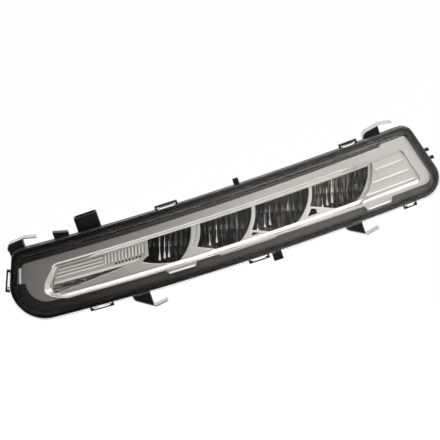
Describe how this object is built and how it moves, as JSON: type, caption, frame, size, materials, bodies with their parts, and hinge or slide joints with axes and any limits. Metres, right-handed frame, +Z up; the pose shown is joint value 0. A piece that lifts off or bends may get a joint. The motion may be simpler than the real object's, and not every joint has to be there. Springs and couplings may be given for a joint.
{
  "type": "daytime running light",
  "caption": "Slim curved car lamp: clear cover on a black housing, silver bezel with fluted reflectors, ribbed marker field, spring clips, plug socket and finned heat sink.",
  "frame": {"origin": "middle of the rim's front face, where the lamp meets the bumper's opening", "axes": "+X along the lamp to the right of someone facing it, -Y forward out of the lens, +Z up"},
  "size_m": [0.3488, 0.1001, 0.084],
  "materials": {
    "clear_cover": "clear moulded cover, polished",
    "black_plastic": "black moulded plastic, fine grain",
    "silver_paint": "satin silver paint on plastic",
    "mirror_coat": "bright mirror coat on plastic",
    "clear_optic": "clear ribbed optic",
    "board": "white solder mask",
    "light_source": "yellow phosphor in a white package",
    "cast_aluminium": "cast, unpainted",
    "rubber": "soft black seal",
    "steel": "zinc plated",
    "spring_steel": "bright rolled sheet",
    "socket_plastic": "black moulded plastic",
    "brass": "tinned blades",
    "flexible_strip": "amber film over copper"
  },
  "bodies": {
    "root": {"lens": "clear_cover", "lens_seal": "rubber", "housing": "black_plastic", "bezel": "silver_paint", "reflector_1": "mirror_coat", "reflector_2": "mirror_coat", "reflector_3": "mirror_coat", "reflector_4": "mirror_coat", "drl_board": "board", "drl_leds": "light_source", "heat_sink": "cast_aluminium", "heat_sink_seal": "rubber", "heat_sink_screws": "steel", "marker_optic": "clear_optic", "marker_reflector": "mirror_coat", "marker_board": "board", "marker_leds": "light_source", "connector_body": "socket_plastic", "connector_terminals": "brass", "driver_board": "board", "board_screws": "steel", "jumper_strip": "flexible_strip", "breather_cap": "rubber", "clip_top_left": "spring_steel", "clip_top_right": "spring_steel", "clip_bottom_left": "spring_steel", "clip_bottom_right": "spring_steel"}
  },
  "joints": []
}
